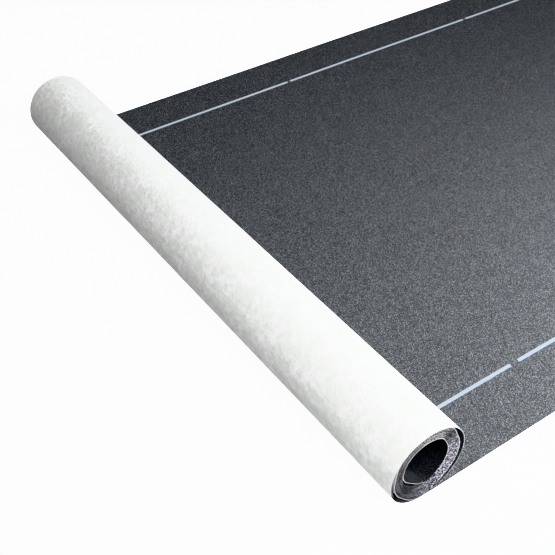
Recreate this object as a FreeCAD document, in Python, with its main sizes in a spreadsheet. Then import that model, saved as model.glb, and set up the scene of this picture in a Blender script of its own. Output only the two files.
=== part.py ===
"""Roll of breather membrane, partly run out.

One continuous length of thin roofing membrane, 1.5 m wide.  Most of it is still wound on
itself with no tube in the middle, and the rest runs out flat on the ground from under the
roll.  It is one piece of stock, so it is one solid.

Row frame: millimetres, +X along the run-out length, away from the roll; +Y along the roll,
from its near end to its far end; +Z up.  The origin is on the ground, under the middle of
the whole piece.  The body's own frame has its origin on the roll's centre line, at the
near edge of the sheet.
"""
import FreeCAD, Part
import Sketcher
import math
import os

NODE = "membrane"

# Driving dimensions: alias, value in mm or degrees, what it is.  Angles are seen from the
# roll's near end, anticlockwise from +X.
SIZES = [
    ("sheet_width", 1500.0, "width of the membrane, which is the roll's length"),
    ("sheet_thickness", 0.45, "thickness of one layer of membrane"),
    ("roll_radius", 86.0, "outside of the outermost turn"),
    ("laid_length", 2000.0, "from under the roll's centre line to the cut end"),
    ("tight_radius", 76.0, "outside of the tight turns"),
    ("tight_bore_radius", 54.0, "inside of the tight turns"),
    ("inner_turn_radius", 49.5, "inside of the loose innermost turn"),
    ("inner_turn_bite", 0.3, "how far the innermost turn is pressed into the tight turns"),
    ("inner_turn_direction", 40.0, "where the innermost turn touches the tight turns"),
    ("slack_start", -86.0, "where the gap under the slack outermost turn starts, low down"),
    ("slack_end", 56.0, "where that gap ends, near the top"),
    ("slack_taper", 18.0, "how far round each end of a gap takes to close"),
    ("back_start", 160.0, "where the two thin gaps on the roll's other side start"),
    ("back_end", 240.0, "where they end, low down"),
    ("back_turn_radius", 82.6, "outside of the loose turn between those two gaps"),
    ("dish_depth", 5.0, "how far the tight turns have slid along the roll at their bore"),
    ("turn_step", 0.8, "uneven step between one group of turns and the next"),
]
# The tight turns show on the roll's ends as this many rings, each of a few layers.
TURN_GROUPS = 12

doc = FreeCAD.newDocument("breather_membrane")
sheet = doc.addObject("Spreadsheet::Sheet", "sizes")
for row, (alias, value, meaning) in enumerate(SIZES, start=1):
    sheet.set(f"A{row}", meaning)
    sheet.set(f"B{row}", str(value))
    sheet.setAlias(f"B{row}", alias)
size = {alias: value for alias, value, meaning in SIZES}

body = doc.addObject("PartDesign::Body", NODE)
body.Label = NODE
PLANES = {plane.Role: plane for plane in body.Origin.OriginFeatures}
ORIGIN = (-1, 1)
H_AXIS = -1
V_AXIS = -2
START, END, CENTRE = 1, 2, 3


def new_sketch(name, plane):
    """An empty sketch on one of the body's origin planes."""
    sketch = body.newObject("Sketcher::SketchObject", name)
    sketch.AttachmentSupport = (PLANES[plane], [""])
    sketch.MapMode = "FlatFace"
    return sketch


def bind(sketch, kind, where, value, name, formula):
    """Add a named dimension to a sketch and tie it to a formula of the sheet's sizes."""
    index = sketch.addConstraint(Sketcher.Constraint(kind, *where, value))
    sketch.renameConstraint(index, name)
    sketch.setExpression(f".Constraints.{name}", formula)


def join(sketch, *where):
    """Make two points of a sketch the same point."""
    sketch.addConstraint(Sketcher.Constraint("Coincident", *where))


def circle_point(centre, radius, angle):
    """The point of a circle at an angle from the sketch's horizontal axis."""
    return FreeCAD.Vector(
        centre.x + radius * math.cos(angle), centre.y + radius * math.sin(angle), 0
    )


def arc(sketch, centre, radius, start, end):
    """Add an arc that runs anticlockwise from one angle to another."""
    circle = Part.Circle(centre, FreeCAD.Vector(0, 0, 1), radius)
    return sketch.addGeometry(Part.ArcOfCircle(circle, start, end))


def guide_line(sketch, start, end):
    """Add a construction line, which shapes nothing by itself."""
    return sketch.addGeometry(Part.LineSegment(start, end), True)


def along_roll(kind, name, sketch):
    """A pad or pocket that runs the width of the sheet, from the near edge to the far edge."""
    feature = body.newObject("PartDesign::" + kind, name)
    feature.Profile = sketch
    feature.Type = "Length"
    feature.Reversed = kind == "Pad"
    feature.Midplane = False
    return feature


# --- wound turns: a ring section turned about the roll's centre line --------------------
# The ends step in and out along the roll, because each group of turns has slid a little.
# Each ring is (outer radius, slide along the roll), from the centre line outwards: the
# innermost turn, the groups of tight turns, and the loose turns round them.


def ring_formulas():
    """Outer radius and slide of each ring, as formulas of the sheet's sizes."""
    rings = [("sizes.tight_bore_radius", "sizes.dish_depth + sizes.turn_step")]
    for group in range(1, TURN_GROUPS + 1):
        share = group / TURN_GROUPS
        radius = f"sizes.tight_bore_radius * {1 - share} + sizes.tight_radius * {share}"
        step = 0.5 if group % 2 else 0.0
        slide = f"sizes.dish_depth * {1 - share} + sizes.turn_step * {0.5 + step}"
        rings.append((radius, slide))
    rings.append(("sizes.roll_radius - sizes.sheet_thickness", "sizes.turn_step / 4"))
    return rings


def ring_values():
    """The same rings as numbers, which place the sketch's lines before they are tied."""
    rings = [(size["tight_bore_radius"], size["dish_depth"] + size["turn_step"])]
    for group in range(1, TURN_GROUPS + 1):
        share = group / TURN_GROUPS
        radius = size["tight_bore_radius"] * (1 - share) + size["tight_radius"] * share
        step = 0.5 if group % 2 else 0.0
        slide = size["dish_depth"] * (1 - share) + size["turn_step"] * (0.5 + step)
        rings.append((radius, slide))
    rings.append((size["roll_radius"] - size["sheet_thickness"], size["turn_step"] / 4))
    return rings


def stepped_end(sketch, side, offset, offset_formula):
    """One end of the section: a staircase of lines from the centre line to the rim.

    Returns its first and last risers, as (line, its point on the staircase's end).
    """
    inner = 0.0
    previous = first = corner = None
    for index, (values, formulas) in enumerate(zip(ring_values(), ring_formulas())):
        radius, slide = values
        along = offset + slide
        low = FreeCAD.Vector(along, inner, 0)
        high = FreeCAD.Vector(along, radius, 0)
        riser = sketch.addGeometry(Part.LineSegment(low, high))
        sketch.addConstraint(Sketcher.Constraint("Vertical", riser))
        bind(sketch, "DistanceX", (*ORIGIN, riser, START), along,
             f"{side}_slide_{index}", offset_formula + formulas[1])
        bind(sketch, "DistanceY", (*ORIGIN, riser, END), radius,
             f"{side}_radius_{index}", formulas[0])
        if previous is None:
            sketch.addConstraint(Sketcher.Constraint("PointOnObject", riser, START, H_AXIS))
            first = (riser, low)
        else:
            tread = sketch.addGeometry(Part.LineSegment(corner, low))
            sketch.addConstraint(Sketcher.Constraint("Horizontal", tread))
            join(sketch, previous, END, tread, START)
            join(sketch, tread, END, riser, START)
        inner = radius
        previous = riser
        corner = high
    return first, (previous, corner)


section = new_sketch("turns_section", "YZ_Plane")
(near_first, near_low), (near_last, near_high) = stepped_end(section, "near", 0.0, "")
(far_first, far_low), (far_last, far_high) = stepped_end(
    section, "far", size["sheet_width"], "sizes.sheet_width + "
)

# The outermost turn's edges are in line with those of the run-out length.
rim_low = FreeCAD.Vector(0, near_high.y, 0)
rim_high = FreeCAD.Vector(0, size["roll_radius"], 0)
far_rim_high = FreeCAD.Vector(size["sheet_width"], size["roll_radius"], 0)
far_rim_low = FreeCAD.Vector(size["sheet_width"], far_high.y, 0)
near_tread = section.addGeometry(Part.LineSegment(near_high, rim_low))
near_edge = section.addGeometry(Part.LineSegment(rim_low, rim_high))
outside = section.addGeometry(Part.LineSegment(rim_high, far_rim_high))
far_edge = section.addGeometry(Part.LineSegment(far_rim_high, far_rim_low))
far_tread = section.addGeometry(Part.LineSegment(far_rim_low, far_high))
middle = section.addGeometry(Part.LineSegment(near_low, far_low))
join(section, near_last, END, near_tread, START)
join(section, near_tread, END, near_edge, START)
join(section, near_edge, END, outside, START)
join(section, outside, END, far_edge, START)
join(section, far_edge, END, far_tread, START)
join(section, far_tread, END, far_last, END)
join(section, middle, START, near_first, START)
join(section, middle, END, far_first, START)
for line in (near_tread, outside, far_tread):
    section.addConstraint(Sketcher.Constraint("Horizontal", line))
section.addConstraint(Sketcher.Constraint("Vertical", far_edge))
section.addConstraint(Sketcher.Constraint("PointOnObject", near_edge, START, V_AXIS))
section.addConstraint(Sketcher.Constraint("PointOnObject", near_edge, END, V_AXIS))
bind(section, "DistanceX", (*ORIGIN, outside, END), size["sheet_width"],
     "far_edge", "sizes.sheet_width")
bind(section, "DistanceY", (*ORIGIN, outside, START), size["roll_radius"],
     "outside_radius", "sizes.roll_radius")

turns = body.newObject("PartDesign::Revolution", "turns")
turns.Profile = section
turns.ReferenceAxis = (section, ["H_Axis"])
turns.Angle = 360

# --- run-out length: flat on the ground, from under the roll to the cut end --------------
flat = new_sketch("run_out_section", "XZ_Plane")
ground = -size["roll_radius"]
top = ground + size["sheet_thickness"]
corners = [
    FreeCAD.Vector(0, ground, 0),
    FreeCAD.Vector(size["laid_length"], ground, 0),
    FreeCAD.Vector(size["laid_length"], top, 0),
    FreeCAD.Vector(0, top, 0),
]
for index, corner in enumerate(corners):
    flat.addGeometry(Part.LineSegment(corner, corners[(index + 1) % 4]))
for index in range(4):
    join(flat, index, END, (index + 1) % 4, START)
    direction = "Horizontal" if index % 2 == 0 else "Vertical"
    flat.addConstraint(Sketcher.Constraint(direction, index))
flat.addConstraint(Sketcher.Constraint("PointOnObject", 0, START, V_AXIS))
bind(flat, "DistanceY", (0, START, *ORIGIN), size["roll_radius"],
     "ground", "sizes.roll_radius")
bind(flat, "DistanceX", (0, START, 0, END), size["laid_length"],
     "length", "sizes.laid_length")
bind(flat, "DistanceY", (1, START, 1, END), size["sheet_thickness"],
     "thickness", "sizes.sheet_thickness")
run_out = along_roll("Pad", "run_out", flat)
run_out.setExpression("Length", "sizes.sheet_width")

# --- gaps between loose turns: each a part of a ring whose two ends close gradually ------
# The slack outermost turn stands off the tight turns on the side of the run-out length.
# On the other side two thin gaps lie one outside the other, with one loose turn between.


def gap_between_turns(name, over, under, start, end):
    """Cut a gap from the radius `under` to the radius `over`, from one angle to another.

    Each argument but the name is (number, formula).  Its outer side is an arc over the
    whole angle, its inner side a shorter arc, and a straight line closes each end.
    """
    sketch = new_sketch(name + "_section", "XZ_Plane")
    taper = size["slack_taper"]
    sides = []
    for side, (radius, formula), inset in (("over", over, 0), ("under", under, 1)):
        first = math.radians(start[0] + inset * taper)
        last = math.radians(end[0] - inset * taper)
        curve = arc(sketch, MIDDLE, radius, first, last)
        join(sketch, curve, CENTRE, *ORIGIN)
        bind(sketch, "Radius", (curve,), radius, side + "_radius", formula)
        for which, angle, limit in ((START, first, start), (END, last, end)):
            spoke = guide_line(sketch, MIDDLE, circle_point(MIDDLE, radius, angle))
            join(sketch, spoke, START, *ORIGIN)
            join(sketch, spoke, END, curve, which)
            sign = "+" if which == START else "-"
            bind(sketch, "Angle", (spoke,), angle, f"{side}_angle_{which}",
                 f"({limit[1]} {sign} {inset} * sizes.slack_taper) * 1 deg")
        sides.append((curve, radius, first, last))
    (outer, outer_radius, *outer_angles), (inner, inner_radius, *inner_angles) = sides
    for which, outer_angle, inner_angle in zip((START, END), outer_angles, inner_angles):
        closing = sketch.addGeometry(
            Part.LineSegment(
                circle_point(MIDDLE, outer_radius, outer_angle),
                circle_point(MIDDLE, inner_radius, inner_angle),
            )
        )
        join(sketch, closing, START, outer, which)
        join(sketch, closing, END, inner, which)
    gap = along_roll("Pocket", name, sketch)
    gap.setExpression("Length", THROUGH)
    return gap


MIDDLE = FreeCAD.Vector(0, 0, 0)
THROUGH = "sizes.sheet_width + sizes.dish_depth + 2 * sizes.turn_step"
under_outermost = (
    size["roll_radius"] - size["sheet_thickness"], "sizes.roll_radius - sizes.sheet_thickness"
)
on_tight_turns = (
    size["tight_radius"] + size["sheet_thickness"],
    "sizes.tight_radius + sizes.sheet_thickness",
)
back_turn = (size["back_turn_radius"], "sizes.back_turn_radius")
under_back_turn = (
    size["back_turn_radius"] - size["sheet_thickness"],
    "sizes.back_turn_radius - sizes.sheet_thickness",
)
slack_angles = (
    (size["slack_start"], "sizes.slack_start"), (size["slack_end"], "sizes.slack_end")
)
back_angles = (
    (size["back_start"], "sizes.back_start"), (size["back_end"], "sizes.back_end")
)
slack_gap = gap_between_turns("slack_gap", under_outermost, on_tight_turns, *slack_angles)
back_gap = gap_between_turns("back_gap", under_outermost, back_turn, *back_angles)
back_inner_gap = gap_between_turns(
    "back_inner_gap", under_back_turn, on_tight_turns, *back_angles
)

# --- loose innermost turn: a crescent gap round it, and the open middle inside it --------
outer = size["inner_turn_radius"] + size["sheet_thickness"]
shift = size["tight_bore_radius"] - outer + size["inner_turn_bite"]
touching = math.radians(size["inner_turn_direction"])
turn_centre = circle_point(MIDDLE, shift, touching)
meet = math.acos(
    (size["tight_bore_radius"] ** 2 - shift ** 2 - outer ** 2) / (2 * shift * outer)
)
meet_wide = math.atan2(outer * math.sin(meet), shift + outer * math.cos(meet))
SHIFT = (
    "sizes.tight_bore_radius - sizes.inner_turn_radius - sizes.sheet_thickness"
    " + sizes.inner_turn_bite"
)


def turn_centre_guide(sketch):
    """A construction line from the roll's centre line to the innermost turn's own centre."""
    line = guide_line(sketch, MIDDLE, turn_centre)
    join(sketch, line, START, *ORIGIN)
    bind(sketch, "Distance", (line,), shift, "shift", SHIFT)
    bind(sketch, "Angle", (line,), touching,
         "direction", "sizes.inner_turn_direction * 1 deg")
    return line


loose = new_sketch("loose_turn_section", "XZ_Plane")
tight_arc = arc(loose, MIDDLE, size["tight_bore_radius"],
                touching + meet_wide, touching - meet_wide + 2 * math.pi)
turn_arc = arc(loose, turn_centre, outer, touching + meet, touching - meet + 2 * math.pi)
guide = turn_centre_guide(loose)
join(loose, tight_arc, CENTRE, *ORIGIN)
join(loose, turn_arc, CENTRE, guide, END)
join(loose, tight_arc, START, turn_arc, START)
join(loose, tight_arc, END, turn_arc, END)
bind(loose, "Radius", (tight_arc,), size["tight_bore_radius"],
     "tight_bore", "sizes.tight_bore_radius")
bind(loose, "Radius", (turn_arc,), outer,
     "turn_outside", "sizes.inner_turn_radius + sizes.sheet_thickness")
loose_gap = along_roll("Pocket", "loose_gap", loose)
loose_gap.setExpression("Length", THROUGH)

hollow = new_sketch("hollow_section", "XZ_Plane")
ring = hollow.addGeometry(
    Part.Circle(turn_centre, FreeCAD.Vector(0, 0, 1), size["inner_turn_radius"])
)
guide = turn_centre_guide(hollow)
join(hollow, ring, CENTRE, guide, END)
bind(hollow, "Radius", (ring,), size["inner_turn_radius"],
     "inside", "sizes.inner_turn_radius")
hollow_middle = along_roll("Pocket", "hollow_middle", hollow)
hollow_middle.setExpression("Length", THROUGH)

# --- place the piece: on the ground, with the origin under its middle --------------------
body.setExpression(".Placement.Base.x", "(sizes.roll_radius - sizes.laid_length) / 2")
body.setExpression(".Placement.Base.y", "-sizes.sheet_width / 2")
body.setExpression(".Placement.Base.z", "sizes.roll_radius")
body.Tip = hollow_middle

doc.recompute()
for item in doc.Objects:
    if "Invalid" in item.State or "Error" in item.State:
        raise RuntimeError(f"{item.Label} could not be made: {item.State}")
for item in (turns, run_out, slack_gap, back_gap, back_inner_gap, loose_gap, hollow_middle):
    print(item.Label, round(item.Shape.Volume / 1000), "cm3")
if body.Shape.isNull() or not body.Shape.isValid() or len(body.Shape.Solids) != 1:
    raise RuntimeError(f"{body.Label} is not one valid solid")
box = body.Shape.BoundBox
print(box)

os.makedirs("parts", exist_ok=True)
body.Shape.exportStep(f"parts/{body.Label}.step")
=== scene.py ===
"""Looks of a part-unrolled roll of breather membrane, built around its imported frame."""
import math

import bpy
import numpy as np
from mathutils import Matrix, Vector


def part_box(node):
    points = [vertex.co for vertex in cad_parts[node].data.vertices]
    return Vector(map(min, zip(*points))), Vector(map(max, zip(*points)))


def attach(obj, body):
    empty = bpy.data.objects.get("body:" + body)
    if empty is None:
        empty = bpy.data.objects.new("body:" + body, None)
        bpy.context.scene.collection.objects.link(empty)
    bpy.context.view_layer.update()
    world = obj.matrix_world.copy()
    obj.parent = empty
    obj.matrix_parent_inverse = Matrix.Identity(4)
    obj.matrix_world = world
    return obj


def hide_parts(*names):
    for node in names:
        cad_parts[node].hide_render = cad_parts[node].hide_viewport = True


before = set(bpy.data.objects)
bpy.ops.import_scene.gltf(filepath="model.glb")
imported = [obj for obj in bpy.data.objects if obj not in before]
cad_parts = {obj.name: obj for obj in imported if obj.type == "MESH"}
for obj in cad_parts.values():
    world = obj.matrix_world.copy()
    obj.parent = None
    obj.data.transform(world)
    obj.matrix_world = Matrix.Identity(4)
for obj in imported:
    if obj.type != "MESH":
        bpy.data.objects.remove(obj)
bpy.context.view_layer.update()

# --- The membrane as one sheet ----------------------------------------------------------
# One length of three-layer roofing membrane, 1.5 m wide and 25 m long: a white non-woven, a
# breathing film and a charcoal non-woven.  Its first two metres lie flat with the charcoal
# side up.  The rest is wound white side out, tight inside with a few slack turns round it.

low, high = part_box("membrane")
ROLL_RADIUS = high.z / 2
SHEET_WIDTH = -2 * low.y
LAID_LENGTH = 2 * high.x - ROLL_RADIUS
ROLL_X = high.x - LAID_LENGTH
THICKNESS = 0.00045
TURNS_INSIDE = 53
LAST_TURN_SHARE = 0.92
STEPS_IN_TURN = 96
OUTERMOST_STANDS_OFF = 0.0100
SECOND_TURN_HANGS = 0.0034
THIRD_TURN_HANGS = 0.0081
SLACK_INSIDE = 0.0052
INNERMOST_SAG = 0.0090
BORE_SET_IN = 0.0050


def bump_round(angle, middle, half_width):
    """A smooth hump round the roll: 1 at `middle`, falling as a raised cosine to 0 at
    `half_width` either side, in degrees."""
    away = (angle - middle + 180) % 360 - 180
    return 0.5 + 0.5 * np.cos(np.pi * np.clip(away / half_width, -1, 1))


def plateau_round(angle, start, end, slope):
    """1 between two angles round the roll, easing to 0 over `slope` degrees outside them."""
    middle = (start + end) / 2
    away = np.abs((angle - middle + 180) % 360 - 180) - (end - start) / 2
    share = np.clip(1 - away / slope, 0, 1)
    return share * share * (3 - 2 * share)


def turn_radius(winding):
    """Distance of the sheet from the roll's centre line, against the winding in radians.

    It starts at the roll's outside and loses one thickness and 0.1 mm of slack a turn.  The
    outermost turn stands 10 mm off the rest on the run-out side.  On the other side of the
    roll the next two turns hang 3 mm and 5 mm apart.  The innermost turn sags 9 mm into the
    open middle.
    """
    turn = winding / (2 * np.pi)
    number = np.floor(turn)
    angle = -90 - 360 * turn
    run_out_side = plateau_round(angle, -52, 26, 34)
    back_side = plateau_round(angle, 172, 222, 38)
    elsewhere = 1 - run_out_side - back_side
    standing_off = np.where(number >= 1, OUTERMOST_STANDS_OFF, 0.0)
    hanging_apart = np.where(number >= 2, THIRD_TURN_HANGS,
                             np.where(number >= 1, SECOND_TURN_HANGS, 0.0))
    loose = SLACK_INSIDE * turn / TURNS_INSIDE
    sag = np.where(number == TURNS_INSIDE, INNERMOST_SAG, 0.0) * bump_round(angle, 234, 62)
    gone = (THICKNESS * turn + elsewhere * loose + run_out_side * standing_off
            + back_side * hanging_apart + sag)
    return ROLL_RADIUS - THICKNESS / 2 - gone


def turn_slide(winding):
    """How far a turn's edge is set in at the near end: over 5 mm at the bore and nothing
    where the sheet leaves the roll, with each turn a little out of line with the next."""
    turn = winding / (2 * np.pi)
    inward = np.clip((turn - 1.4) / (TURNS_INSIDE - 1.4), 0, 1)
    uneven = 0.00005 * np.sin(12.9 * np.floor(turn)) + 0.00015 * np.sin(0.9 * turn)
    wander = 0.00004 * np.sin(2.3 * winding) * np.sin(0.31 * winding + 1.0)
    settled = np.clip(turn, 0, 1)
    return BORE_SET_IN * inward + settled * (0.0006 + uneven + wander)


def sheet_path():
    """The sheet's middle line from its cut end to its inner end, in the X-Z plane: straight
    along the ground, then the winding.  Returns x, z, the direction to the charcoal side,
    the length so far, the edge slide, and how much of the path lies flat."""
    flat_x = np.linspace(high.x, ROLL_X, 121)[:-1]
    turns = TURNS_INSIDE + LAST_TURN_SHARE
    winding = np.linspace(0, 2 * np.pi * turns, int(turns * STEPS_IN_TURN) + 1)
    radius = turn_radius(winding)
    angle = -np.pi / 2 - winding
    x = np.concatenate([flat_x, ROLL_X + radius * np.cos(angle)])
    z = np.concatenate([np.full(flat_x.size, THICKNESS / 2),
                        ROLL_RADIUS + radius * np.sin(angle)])
    along_x, along_z = np.gradient(x), np.gradient(z)
    size = np.hypot(along_x, along_z)
    length = np.concatenate([[0], np.cumsum(np.hypot(np.diff(x), np.diff(z)))])
    slide = np.concatenate([np.zeros(flat_x.size), turn_slide(winding)])
    return x, z, along_z / size, -along_x / size, length, slide, flat_x.size


path_x, path_z, side_x, side_z, path_length, path_slide, flat_steps = sheet_path()
SHEET_LENGTH = float(path_length[-1])
fine_steps = flat_steps + STEPS_IN_TURN + 1
RIPPLE = 0.0007
DENT = 0.00022


def sheet_surface(side, across, rows):
    """Points of one face of the sheet: the path moved half a thickness to that side, at each
    share of the width.  Laid flat, it ripples up to 1.4 mm off the ground, by three sine
    waves.  Wound, it has dents of 0.2 mm, by a product of two."""
    x = (path_x + side * side_x * THICKNESS / 2)[rows, None]
    z = (path_z + side * side_z * THICKNESS / 2)[rows, None]
    share = across[None, :]
    y = low.y + path_slide[rows, None] + SHEET_WIDTH * share + 0 * x
    step = np.arange(path_x.size)[rows, None]
    run = np.clip((x - ROLL_X) / 0.35, 0, 1) * (step < flat_steps)
    ripple = (np.sin(5.1 * x + 2.3 * y) + 0.6 * np.sin(11.0 * y - 3.1 * x + 0.7)
              + 0.5 * np.sin(9.0 * x + 1.9)) / 2.1
    z = z + run * RIPPLE * (1 + ripple)
    dent = DENT * np.sin(17 * y + 2.0) * np.sin(23 * x + 31 * z) * (run == 0)
    outward = dent * np.clip((step - flat_steps) / 12, 0, 1)
    x = x - outward * side_x[rows, None]
    z = z - outward * side_z[rows, None]
    return np.stack([x + 0 * y, y, z + 0 * y], axis=-1)


def grid_faces(first, rows, columns, flip):
    """Corner numbers of a grid's quads, whose vertices are numbered row by row."""
    corner = first + np.arange(rows - 1)[:, None] * columns + np.arange(columns - 1)
    quads = np.stack([corner, corner + 1, corner + columns + 1, corner + columns], axis=-1)
    quads = quads.reshape(-1, 4)
    return quads[:, ::-1] if flip else quads


def strip_faces(one, other):
    """Quads between two equally long rows of vertices."""
    return np.stack([one[:-1], one[1:], other[1:], other[:-1]], axis=-1)


def sheet_mesh():
    """The closed sheet.  The part that shows has many points across, and the wound turns
    have only their two edges.  The two meet in a fan of triangles, hidden under the roll.
    Returns points, face corners, face sizes, each face's material, each point's place on
    the flat sheet, and which points are on the charcoal side."""
    across = np.linspace(0, 1, 57)
    edges = np.array([0.0, 1.0])
    fine = slice(0, fine_steps)
    coarse = slice(fine_steps, None)
    coarse_steps = path_x.size - fine_steps
    blocks = [sheet_surface(-1, across, fine), sheet_surface(1, across, fine),
              sheet_surface(-1, edges, coarse), sheet_surface(1, edges, coarse)]
    starts = np.cumsum([0] + [b.shape[0] * b.shape[1] for b in blocks])
    points = np.concatenate([b.reshape(-1, 3) for b in blocks])
    n = across.size
    quads, kinds = [], []

    def add(faces, kind):
        """Keep some faces, and which material they have."""
        quads.append(faces)
        kinds.append(np.full(len(faces), kind))

    for side, kind in ((0, 0), (1, 1)):
        add(grid_faces(starts[side], fine_steps, n, side == 0), kind)
        add(grid_faces(starts[side + 2], coarse_steps, 2, side == 0), kind)
    near = [starts[s] + np.arange(fine_steps) * n for s in (0, 1)]
    far = [row + n - 1 for row in near]
    near_in = [starts[s] + np.arange(coarse_steps) * 2 for s in (2, 3)]
    far_in = [row + 1 for row in near_in]
    near_all = [np.concatenate(pair) for pair in zip(near, near_in)]
    far_all = [np.concatenate(pair) for pair in zip(far, far_in)]
    add(strip_faces(near_all[1], near_all[0]), 2)
    add(strip_faces(far_all[0], far_all[1]), 2)
    first = [starts[s] + np.arange(n) for s in (0, 1)]
    add(strip_faces(first[0], first[1]), 2)
    last = [np.array([near_in[s][-1], far_in[s][-1]]) for s in (0, 1)]
    add(strip_faces(last[1], last[0]), 2)
    fans = []
    for side in (0, 1):
        row = starts[side] + (fine_steps - 1) * n + np.arange(n)
        tip = np.where(np.arange(n - 1) < n // 2, near_in[side][0], far_in[side][0])
        fan = np.stack([row[:-1], row[1:], tip], axis=-1)
        middle = [[row[n // 2], far_in[side][0], near_in[side][0]]]
        fan = np.concatenate([fan, middle])
        fans.append((fan[:, ::-1] if side == 0 else fan, side))
    quads = np.concatenate(quads)
    corners = np.concatenate([quads.ravel()] + [fan.ravel() for fan, _ in fans])
    totals = np.concatenate([np.full(len(quads), 4)] + [np.full(len(f), 3) for f, _ in fans])
    kinds = np.concatenate(kinds + [np.full(len(f), kind) for f, kind in fans])
    length = path_length[:, None]
    share_fine = np.broadcast_to(across * SHEET_WIDTH, (fine_steps, n))
    share_coarse = np.broadcast_to(edges * SHEET_WIDTH, (coarse_steps, 2))
    u = np.concatenate([share_fine.ravel()] * 2 + [share_coarse.ravel()] * 2)
    v = np.concatenate([np.broadcast_to(length[fine], (fine_steps, n)).ravel()] * 2
                       + [np.broadcast_to(length[coarse], (coarse_steps, 2)).ravel()] * 2)
    charcoal = np.zeros(len(points))
    charcoal[starts[1]:starts[2]] = 1
    charcoal[starts[3]:] = 1
    return points, corners, totals, kinds, np.stack([u, v], axis=-1), charcoal


def make_mesh(name, points, corners, totals, kinds):
    """A Blender mesh from whole arrays of points, face corners and face sizes."""
    mesh = bpy.data.meshes.new(name)
    mesh.vertices.add(len(points))
    mesh.vertices.foreach_set("co", points.astype(np.float32).ravel())
    mesh.loops.add(len(corners))
    mesh.loops.foreach_set("vertex_index", corners.astype(np.int32))
    mesh.polygons.add(len(totals))
    mesh.polygons.foreach_set("loop_start", (np.cumsum(totals) - totals).astype(np.int32))
    mesh.polygons.foreach_set("material_index", kinds.astype(np.int32))
    mesh.update(calc_edges=True)
    mesh.validate()
    return mesh


points, corners, totals, kinds, flat_place, charcoal_side = sheet_mesh()
mesh = make_mesh("membrane_sheet", points, corners, totals, kinds)
mesh.polygons.foreach_set("use_smooth", np.ones(len(totals), bool))
mesh.set_sharp_from_angle(angle=math.radians(40))
# The map holds metres across and metres along the sheet, and on the cut edge the share of
# the thickness from the white side.
across_thickness = np.repeat(kinds == 2, totals)
place = flat_place[corners]
place[across_thickness, 0] = charcoal_side[corners][across_thickness]
layer = mesh.uv_layers.new(name="metres")
layer.data.foreach_set("uv", place.astype(np.float32).ravel())
membrane = bpy.data.objects.new("membrane_sheet", mesh)
bpy.context.scene.collection.objects.link(membrane)


def new_group(name, inputs, outputs):
    """A shader node group with named sockets.  Returns it with its input and output nodes."""
    group = bpy.data.node_groups.new(name, "ShaderNodeTree")
    for label, kind, value in inputs:
        socket = group.interface.new_socket(label, in_out="INPUT", socket_type=kind)
        if value is not None:
            socket.default_value = value
    for label, kind in outputs:
        group.interface.new_socket(label, in_out="OUTPUT", socket_type=kind)
    return group, group.nodes.new("NodeGroupInput"), group.nodes.new("NodeGroupOutput")


def node(tree, kind, settings=None, **inputs):
    """Add a node, with its settings and its inputs given as values or as sockets to link."""
    made = tree.nodes.new(kind)
    for key, value in (settings or {}).items():
        setattr(made, key, value)
    for key, value in inputs.items():
        socket = made.inputs[int(key[1:])] if key[0] == "i" and key[1:].isdigit() \
            else made.inputs[key.replace("_", " ")]
        if isinstance(value, bpy.types.NodeSocket):
            tree.links.new(value, socket)
        else:
            socket.default_value = value
    return made


def math_node(tree, operation, first, second=0.0, third=0.0, clamp=False):
    """The result socket of a Math node."""
    made = node(tree, "ShaderNodeMath", {"operation": operation, "use_clamp": clamp},
                i0=first, i1=second, i2=third)
    return made.outputs[0]


def remap(tree, value, from_low, from_high, to_low, to_high):
    """A value moved from one range to another, and held inside it."""
    made = node(tree, "ShaderNodeMapRange", None, i0=value, i1=from_low, i2=from_high,
                i3=to_low, i4=to_high)
    return made.outputs[0]


def blend_colour(tree, share, first, second, mode="MIX"):
    """The colour between two colours at a share."""
    made = node(tree, "ShaderNodeMix", {"data_type": "RGBA", "blend_type": mode},
                i0=share, i6=first, i7=second)
    return made.outputs[2]


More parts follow.
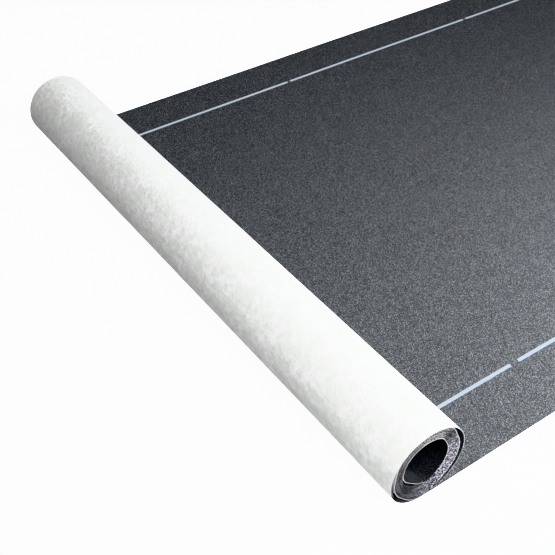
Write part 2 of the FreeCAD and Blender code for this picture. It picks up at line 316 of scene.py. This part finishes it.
def spun_fibres():
    """Node group: the look of fine fibres laid at random and pressed flat.  Web is the
    crossing fibres, Cloud the thick and thin places, Height their relief."""
    group, given, out = new_group(
        "spun fibres",
        [("Vector", "NodeSocketVector", None), ("Fibre Size", "NodeSocketFloat", 0.001)],
        [("Web", "NodeSocketFloat"), ("Cloud", "NodeSocketFloat"),
         ("Height", "NodeSocketFloat")],
    )
    scale = math_node(group, "DIVIDE", 1.0, given.outputs["Fibre Size"])
    place = given.outputs["Vector"]
    swirl = node(group, "ShaderNodeTexNoise", {"noise_dimensions": "2D"}, Vector=place,
                 Scale=math_node(group, "MULTIPLY", scale, 0.22), Detail=2.0)
    offset = node(group, "ShaderNodeVectorMath", {"operation": "SCALE"},
                  i0=swirl.outputs["Color"], Scale=math_node(group, "DIVIDE", 6.0, scale))
    bent = node(group, "ShaderNodeVectorMath", {"operation": "ADD"}, i0=place,
                i1=offset.outputs[0])
    lines = []
    for turn in (0.35, 1.5, 2.6):
        turned = node(group, "ShaderNodeMapping", None, Vector=bent.outputs[0],
                      Rotation=(0, 0, turn), Scale=(1.0, 0.16, 1.0))
        streak = node(group, "ShaderNodeTexNoise", {"noise_dimensions": "2D"},
                      Vector=turned.outputs[0], Scale=scale, Detail=2.0, Roughness=0.6)
        ridge = math_node(group, "ABSOLUTE",
                          math_node(group, "SUBTRACT", streak.outputs["Fac"], 0.5))
        lines.append(remap(group, ridge, 0.0, 0.10, 1.0, 0.0))
    web = math_node(group, "MAXIMUM", math_node(group, "MAXIMUM", lines[0], lines[1]),
                    lines[2])
    cloud = node(group, "ShaderNodeTexNoise", {"noise_dimensions": "2D"}, Vector=place,
                 Scale=math_node(group, "MULTIPLY", scale, 0.075), Detail=7.0,
                 Roughness=0.72)
    group.links.new(web, out.inputs["Web"])
    group.links.new(cloud.outputs["Fac"], out.inputs["Cloud"])
    height = math_node(group, "ADD", math_node(group, "MULTIPLY", web, 0.5),
                       cloud.outputs["Fac"])
    group.links.new(height, out.inputs["Height"])
    return group


FIBRES = spun_fibres()


def new_material(name):
    """An empty material with a Principled shader.  Returns its tree, shader and the map."""
    material = bpy.data.materials.new(name)
    material.use_nodes = True
    tree = material.node_tree
    tree.nodes.clear()
    shader = tree.nodes.new("ShaderNodeBsdfPrincipled")
    out = tree.nodes.new("ShaderNodeOutputMaterial")
    tree.links.new(shader.outputs[0], out.inputs["Surface"])
    place = node(tree, "ShaderNodeUVMap", {"uv_map": "metres"}).outputs[0]
    return material, tree, shader, place


def white_face():
    """White non-woven: matt, with cloudy thick and thin places a few centimetres across,
    fine fibres in them, and shallow dimples."""
    thin_white, thick_white = (0.60, 0.615, 0.595, 1), (0.80, 0.80, 0.805, 1)
    greenish_patch = (0.60, 0.62, 0.59, 1)
    material, tree, shader, place = new_material("white_nonwoven")
    fibres = node(tree, "ShaderNodeGroup", {"node_tree": FIBRES}, Vector=place,
                  Fibre_Size=0.0012)
    cloud = remap(tree, fibres.outputs["Cloud"], 0.36, 0.64, 0.0, 1.0)
    colour = blend_colour(tree, cloud, thin_white, thick_white)
    patches = node(tree, "ShaderNodeTexNoise", {"noise_dimensions": "2D"}, Vector=place,
                   Scale=19.0, Detail=3.0, Roughness=0.5)
    thin = remap(tree, patches.outputs["Fac"], 0.40, 0.62, 0.0, 0.42)
    colour = blend_colour(tree, thin, colour, greenish_patch)
    web = remap(tree, fibres.outputs["Web"], 0.0, 1.0, 0.95, 1.0)
    grey = node(tree, "ShaderNodeCombineColor", None, Red=web, Green=web, Blue=web)
    colour = blend_colour(tree, 1.0, colour, grey.outputs[0], "MULTIPLY")
    tree.links.new(colour, shader.inputs["Base Color"])
    shader.inputs["Roughness"].default_value = 0.72
    shader.inputs["Specular IOR Level"].default_value = 0.35
    dimples = node(tree, "ShaderNodeTexNoise", {"noise_dimensions": "2D"}, Vector=place,
                   Scale=120.0, Detail=6.0, Roughness=0.62)
    broad = node(tree, "ShaderNodeBump", None, Height=dimples.outputs["Fac"], Strength=0.6,
                 Distance=0.0026)
    relief = node(tree, "ShaderNodeBump", None, Height=fibres.outputs["Height"],
                  Strength=0.35, Distance=0.0006, Normal=broad.outputs[0])
    tree.links.new(relief.outputs[0], shader.inputs["Normal"])
    return material


LINE_WIDTH = 0.0084
MARK_WIDTH = 0.0024
LINE_REPEAT = 0.716


def guide_line(tree, across, along, inset, gap_at, gap, mark):
    """A mask of one printed line: a band 8.4 mm wide at its inset, broken by a short gap
    every 716 mm, with a thin mark left in the gap's middle."""
    from_line = math_node(tree, "ABSOLUTE", math_node(tree, "SUBTRACT", across, inset))
    band = math_node(tree, "LESS_THAN", from_line, LINE_WIDTH / 2)
    thin = math_node(tree, "LESS_THAN", from_line, MARK_WIDTH / 2)
    shifted = math_node(tree, "SUBTRACT", along, gap_at - LINE_REPEAT / 2)
    repeat = math_node(tree, "WRAP", shifted, LINE_REPEAT, 0.0)
    from_gap = math_node(tree, "ABSOLUTE",
                         math_node(tree, "SUBTRACT", repeat, LINE_REPEAT / 2))
    dash = math_node(tree, "GREATER_THAN", from_gap, gap / 2)
    whole = math_node(tree, "MULTIPLY", band, dash)
    faint = math_node(tree, "MULTIPLY", thin, math_node(tree, "LESS_THAN", from_gap, mark / 2))
    return math_node(tree, "MAXIMUM", whole, math_node(tree, "MULTIPLY", faint, 0.35))


def charcoal_face():
    """Charcoal non-woven: tiny pale flecks are painted into its colour as glints, for pressed
    fibre ends catching the light.
    Pale blue-white lines for laps are printed on it, 14 cm in from both edges.  The wound
    turns are darker, since little light gets in, and the innermost turn's end most of all."""
    deep, worn_deep = (0.0135, 0.0150, 0.0170, 1), (0.0185, 0.0205, 0.0225, 1)
    fibre, fleck_glint_colour = (0.042, 0.046, 0.052, 1), (0.41, 0.425, 0.448, 1)
    # The near line's ink is painted darker than the far line's: painted shade that offsets the
    # stronger light on the near part of the laid sheet.
    shaded_near_ink, far_ink = (0.19, 0.225, 0.26, 1), (0.36, 0.42, 0.47, 1)
    inner_dark = (0.002, 0.002, 0.003, 1)
    material, tree, shader, place = new_material("charcoal_nonwoven")
    split = node(tree, "ShaderNodeSeparateXYZ", None, Vector=place)
    across, along = split.outputs[0], split.outputs[1]
    fibres = node(tree, "ShaderNodeGroup", {"node_tree": FIBRES}, Vector=place,
                  Fibre_Size=0.0012)
    flecks = node(tree, "ShaderNodeTexVoronoi", {"voronoi_dimensions": "2D"}, Vector=place,
                  Scale=740.0)
    lit = node(tree, "ShaderNodeSeparateColor", None, Color=flecks.outputs["Color"])
    bright = math_node(tree, "POWER", lit.outputs[0], 3.5)
    core = remap(tree, flecks.outputs["Distance"], 0.12, 0.52, 1.0, 0.0)
    glint_fleck = math_node(tree, "MULTIPLY", bright, core)
    cloud = remap(tree, fibres.outputs["Cloud"], 0.35, 0.65, 0.0, 1.0)
    colour = blend_colour(tree, cloud, deep, worn_deep)
    colour = blend_colour(tree, math_node(tree, "MULTIPLY", fibres.outputs["Web"], 0.18),
                          colour, fibre)
    # Painted glints: pale flecks in the base colour stand in for pressed fibre ends catching the
    # light.
    colour = blend_colour(tree, glint_fleck, colour, fleck_glint_colour)
    near = guide_line(tree, across, along, 0.1413, LAID_LENGTH - 0.3745, 0.023, 0.006)
    far = guide_line(tree, across, along, SHEET_WIDTH - 0.136, LAID_LENGTH - 0.672, 0.011, 0.0)
    worn = remap(tree, fibres.outputs["Web"], 0.0, 1.0, 0.75, 1.0)
    colour = blend_colour(tree, math_node(tree, "MULTIPLY", near, worn), colour,
                          shaded_near_ink)
    colour = blend_colour(tree, math_node(tree, "MULTIPLY", far, worn), colour,
                          far_ink)
    inner_flap = math_node(tree, "GREATER_THAN", along, SHEET_LENGTH - 0.34)
    wound = math_node(tree, "GREATER_THAN", along, LAID_LENGTH + 0.2)
    shade = math_node(tree, "MULTIPLY_ADD", inner_flap, 0.25,
                      math_node(tree, "MULTIPLY", wound, 0.50))
    colour = blend_colour(tree, shade, colour, inner_dark)
    tree.links.new(colour, shader.inputs["Base Color"])
    rough = remap(tree, glint_fleck, 0.0, 1.0, 0.55, 0.34)
    tree.links.new(rough, shader.inputs["Roughness"])
    shader.inputs["Specular IOR Level"].default_value = 0.12
    height = math_node(tree, "ADD", fibres.outputs["Height"], glint_fleck)
    relief = node(tree, "ShaderNodeBump", None, Height=height, Strength=0.6,
                  Distance=0.0007)
    tree.links.new(relief.outputs[0], shader.inputs["Normal"])
    return material


def cut_edge():
    """The slit edge.  The wound turns' edges make fine dark and pale rings.  Towards the
    run-out side, at the lower right, the rings are painted paler and glints are painted on,
    as painted light.  Three turns stand out as thin pale lines: the outermost, a loose one
    under it, and the innermost."""
    dark_ring, pale_ring = (0.003, 0.003, 0.004, 1), (0.050, 0.047, 0.052, 1)
    edge_glint_colour, pale_line = (0.42, 0.42, 0.49, 1), (0.55, 0.55, 0.57, 1)
    material, tree, shader, place = new_material("slit_edge")
    along = node(tree, "ShaderNodeSeparateXYZ", None, Vector=place).outputs[1]
    here = node(tree, "ShaderNodeTexCoord").outputs["Object"]
    spot = node(tree, "ShaderNodeSeparateXYZ", None, Vector=here)
    from_x = math_node(tree, "SUBTRACT", spot.outputs[0], ROLL_X)
    from_z = math_node(tree, "SUBTRACT", spot.outputs[2], ROLL_RADIUS)
    radius = math_node(tree, "SQRT", math_node(
        tree, "MULTIPLY_ADD", from_x, from_x, math_node(tree, "MULTIPLY", from_z, from_z)))
    angle = math_node(tree, "ARCTAN2", from_z, from_x)
    # Painted light: the end face is painted brighter towards its lower right, most at 35 degrees
    # below the horizontal, where the light falls.
    lit_side_share = math_node(tree, "COSINE", math_node(tree, "ADD", angle, 0.62))
    lit_side_share = remap(tree, lit_side_share, 0.0, 0.95, 0.0, 1.0)
    ring = node(tree, "ShaderNodeCombineXYZ", None, X=math_node(tree, "MULTIPLY", radius, 170.0),
                Y=math_node(tree, "MULTIPLY", angle, 1.1))
    rings = node(tree, "ShaderNodeTexNoise", {"noise_dimensions": "2D"},
                 Vector=ring.outputs[0], Scale=1.0, Detail=3.0, Roughness=0.65)
    speck = node(tree, "ShaderNodeTexNoise", {"noise_dimensions": "2D"}, Scale=1.0, Detail=2.0,
                 Vector=node(tree, "ShaderNodeCombineXYZ", None,
                             X=math_node(tree, "MULTIPLY", radius, 300.0),
                             Y=math_node(tree, "MULTIPLY", angle, 17.0)).outputs[0])
    pale_share = remap(tree, rings.outputs["Fac"], 0.46, 0.56, 0.0, 1.0)
    pale_share = math_node(tree, "MULTIPLY", pale_share,
                           remap(tree, lit_side_share, 0.0, 1.0, 0.60, 1.0))
    colour = blend_colour(tree, pale_share, dark_ring, pale_ring)
    # Painted glints: pale specks on the end face, most of them on the painted lit side.
    glint = remap(tree, speck.outputs["Fac"], 0.50, 0.62, 0.0, 1.0)
    glint = math_node(tree, "MULTIPLY", glint, remap(tree, lit_side_share, 0.2, 1.0, 0.06, 1.0))
    colour = blend_colour(tree, glint, colour, edge_glint_colour)
    outermost = math_node(tree, "LESS_THAN", along, LAID_LENGTH + 0.50)
    loose = math_node(tree, "COMPARE", along, LAID_LENGTH + 1.78, 0.24)
    innermost = math_node(tree, "COMPARE", along, SHEET_LENGTH - 0.16, 0.155)
    line = math_node(tree, "MAXIMUM", outermost, math_node(tree, "MAXIMUM", loose, innermost))
    colour = blend_colour(tree, line, colour, pale_line)
    tree.links.new(colour, shader.inputs["Base Color"])
    shader.inputs["Roughness"].default_value = 0.7
    shader.inputs["Specular IOR Level"].default_value = 0.1
    return material


for material in (white_face(), charcoal_face(), cut_edge()):
    mesh.materials.append(material)
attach(membrane, "root")
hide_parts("membrane")

# --- Floor, light and camera ------------------------------------------------------------
# A plain pale floor under an even sky, brighter overhead.  A key light stands before the
# roll's near end, a low one before the laid sheet, and a broad weak one beyond it.  The
# camera stands high to the left of the near end and looks down across the roll.

FLOOR_HALF = 9.0
FLOOR_BELOW = 0.0003
SEEN_WHITE = 2.6
floor_mesh = bpy.data.meshes.new("studio_floor")
floor_mesh.from_pydata(
    [(-FLOOR_HALF, -FLOOR_HALF, 0), (FLOOR_HALF, -FLOOR_HALF, 0),
     (FLOOR_HALF, FLOOR_HALF, 0), (-FLOOR_HALF, FLOOR_HALF, 0)], [], [(0, 1, 2, 3)]
)
floor = bpy.data.objects.new("studio_floor", floor_mesh)
floor.location.z = -FLOOR_BELOW
bpy.context.scene.collection.objects.link(floor)


def floor_material():
    """Pale floor: it shows nearly white, and bounces only part of that light back."""
    material, tree, shader, _ = new_material("studio_floor")
    shader.inputs["Base Color"].default_value = (0.56, 0.56, 0.56, 1)
    shader.inputs["Roughness"].default_value = 0.9
    shader.inputs["Specular IOR Level"].default_value = 0.0
    seen = node(tree, "ShaderNodeLightPath").outputs["Is Camera Ray"]
    glow = math_node(tree, "MULTIPLY", seen, SEEN_WHITE)
    shader.inputs["Emission Color"].default_value = (1, 1, 1, 1)
    tree.links.new(glow, shader.inputs["Emission Strength"])
    return material


floor_mesh.materials.append(floor_material())

world = bpy.data.worlds.new("studio")
bpy.context.scene.world = world
world.use_nodes = True
sky = world.node_tree
towards = node(sky, "ShaderNodeTexCoord").outputs["Generated"]
above = node(sky, "ShaderNodeSeparateXYZ", None, Vector=towards).outputs[2]
glow = remap(sky, above, 0.0, 0.9, 0.10, 0.42)
seen = node(sky, "ShaderNodeLightPath").outputs["Is Camera Ray"]
bright = math_node(sky, "MULTIPLY", seen, SEEN_WHITE)
sky.links.new(math_node(sky, "MAXIMUM", glow, bright), sky.nodes["Background"].inputs["Strength"])
sky.nodes["Background"].inputs["Color"].default_value = (1.0, 1.0, 1.0, 1)


def area_light(name, place, target, width, power, colour):
    """A square area light at a place, turned to face a target point."""
    light = bpy.data.lights.new(name, "AREA")
    light.size = width
    light.energy = power
    light.color = colour
    lamp = bpy.data.objects.new(name, light)
    back = Vector([here - there for here, there in zip(place, target)])
    turned = back.to_track_quat("Z", "Y").to_matrix().to_4x4()
    lamp.matrix_world = Matrix.Translation(place) @ turned
    bpy.context.scene.collection.objects.link(lamp)


area_light("key_light", (ROLL_X, low.y - 1.0, 1.9), (ROLL_X + 0.3, low.y + 0.3, 0.0),
           1.2, 106.0, (1.0, 1.0, 1.0))
area_light("side_light", (ROLL_X + 1.15, low.y - 0.7, 0.8), (ROLL_X + 1.05, low.y + 0.05, 0.0),
           0.6, 108.0, (0.98, 0.98, 1.0))
area_light("far_light", (ROLL_X + 4.4, 0.75, 2.1), (ROLL_X + 1.1, low.y, 0.0),
           1.8, 25.0, (0.96, 0.98, 1.0))

# The camera, set by where it stands beside the roll's near end, and by its three angles.
CAMERA_PLACE = (ROLL_X - 0.812, -1.463, 1.434)
CAMERA_ANGLES = (34.681, 40.906, -0.445)
yaw, pitch, roll = (math.radians(angle) for angle in CAMERA_ANGLES)
forward = np.array([math.sin(yaw) * math.cos(pitch), math.cos(yaw) * math.cos(pitch),
                    -math.sin(pitch)])
level = np.array([math.cos(yaw), -math.sin(yaw), 0.0])
up = np.cross(level, forward)
right = math.cos(roll) * level + math.sin(roll) * up
up = -math.sin(roll) * level + math.cos(roll) * up
camera_data = bpy.data.cameras.new("camera")
camera_data.sensor_width = 36.0
camera_data.lens = 61.9
camera = bpy.data.objects.new("camera", camera_data)
turn = Matrix([right, up, -forward]).transposed().to_4x4()
camera.matrix_world = Matrix.Translation(CAMERA_PLACE) @ turn
bpy.context.scene.collection.objects.link(camera)
bpy.context.scene.camera = camera
bpy.context.scene.view_settings.view_transform = "Khronos PBR Neutral"
